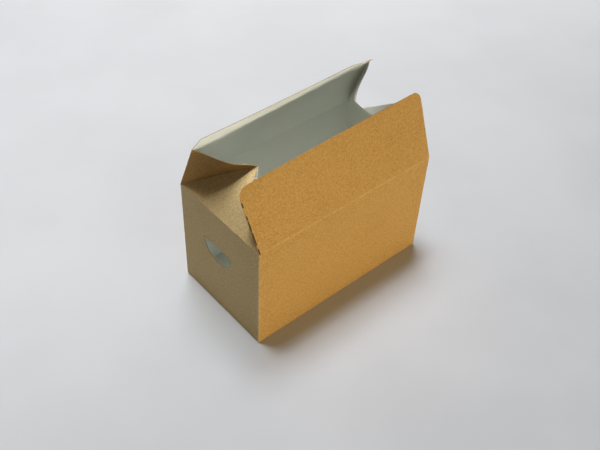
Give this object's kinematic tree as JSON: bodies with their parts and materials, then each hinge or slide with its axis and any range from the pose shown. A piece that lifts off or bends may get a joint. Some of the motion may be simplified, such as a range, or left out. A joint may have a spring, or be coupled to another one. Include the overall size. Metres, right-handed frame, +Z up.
{
  "type": "takeaway box",
  "caption": "Folded kraft board takeaway box with two long hinged lids, web-cornered end gussets and a half-moon finger hole in each end.",
  "frame": {"origin": "middle of the underside", "axes": "+X along the length to the right, +Y across the depth to the back, +Z up"},
  "size_m": [0.207, 0.114, 0.1844],
  "materials": {
    "kraft_board": "matt kraft outside, coated white inside"
  },
  "bodies": {
    "box": {"box": "kraft_board"},
    "front_lid": {"front_lid": "kraft_board"},
    "back_lid": {"back_lid": "kraft_board"},
    "left_gusset": {"left_gusset": "kraft_board"},
    "right_gusset": {"right_gusset": "kraft_board"},
    "front_left_web": {"front_left_web": "kraft_board"},
    "back_left_web": {"back_left_web": "kraft_board"},
    "front_right_web": {"front_right_web": "kraft_board"},
    "back_right_web": {"back_right_web": "kraft_board"}
  },
  "joints": [
    {"name": "front_lid_fold", "type": "hinge", "parent": "box", "child": "front_lid", "pos_m": [0, -0.0565, 0.118], "axis": [-1, 0, 0], "range_deg": [-8, 45]},
    {"name": "back_lid_fold", "type": "hinge", "parent": "box", "child": "back_lid", "pos_m": [0, 0.0565, 0.118], "axis": [1, 0, 0], "range_deg": [-7.41, 41.45]},
    {"name": "left_gusset_fold", "type": "hinge", "parent": "box", "child": "left_gusset", "pos_m": [-0.103, 0, 0.118], "axis": [0, 1, 0], "range_deg": [-6.29, 35.15]},
    {"name": "right_gusset_fold", "type": "hinge", "parent": "box", "child": "right_gusset", "pos_m": [0.103, 0, 0.118], "axis": [0, -1, 0], "range_deg": [-6.29, 35.15]},
    {"name": "front_left_web_fold", "type": "hinge", "parent": "front_lid", "child": "front_left_web", "pos_m": [-0.103, -0.0565, 0.118], "axis": [0, -0.4067, -0.9135], "range_deg": [-5.01, 27.95]},
    {"name": "back_left_web_fold", "type": "hinge", "parent": "back_lid", "child": "back_left_web", "pos_m": [-0.103, 0.0565, 0.118], "axis": [0, -0.4067, 0.9135], "range_deg": [-4.69, 26.15]},
    {"name": "front_right_web_fold", "type": "hinge", "parent": "front_lid", "child": "front_right_web", "pos_m": [0.103, -0.0565, 0.118], "axis": [0, 0.4067, 0.9135], "range_deg": [-5.01, 27.95]},
    {"name": "back_right_web_fold", "type": "hinge", "parent": "back_lid", "child": "back_right_web", "pos_m": [0.103, 0.0565, 0.118], "axis": [0, 0.4067, -0.9135], "range_deg": [-4.69, 26.15]}
  ],
  "couplings": [
    {"joint": "back_lid_fold", "follows": "front_lid_fold", "ratio": 0.92},
    {"joint": "left_gusset_fold", "follows": "front_lid_fold", "ratio": 0.78},
    {"joint": "right_gusset_fold", "follows": "front_lid_fold", "ratio": 0.78},
    {"joint": "front_left_web_fold", "follows": "front_lid_fold", "ratio": 0.62},
    {"joint": "back_left_web_fold", "follows": "front_lid_fold", "ratio": 0.58},
    {"joint": "front_right_web_fold", "follows": "front_lid_fold", "ratio": 0.62},
    {"joint": "back_right_web_fold", "follows": "front_lid_fold", "ratio": 0.58}
  ]
}
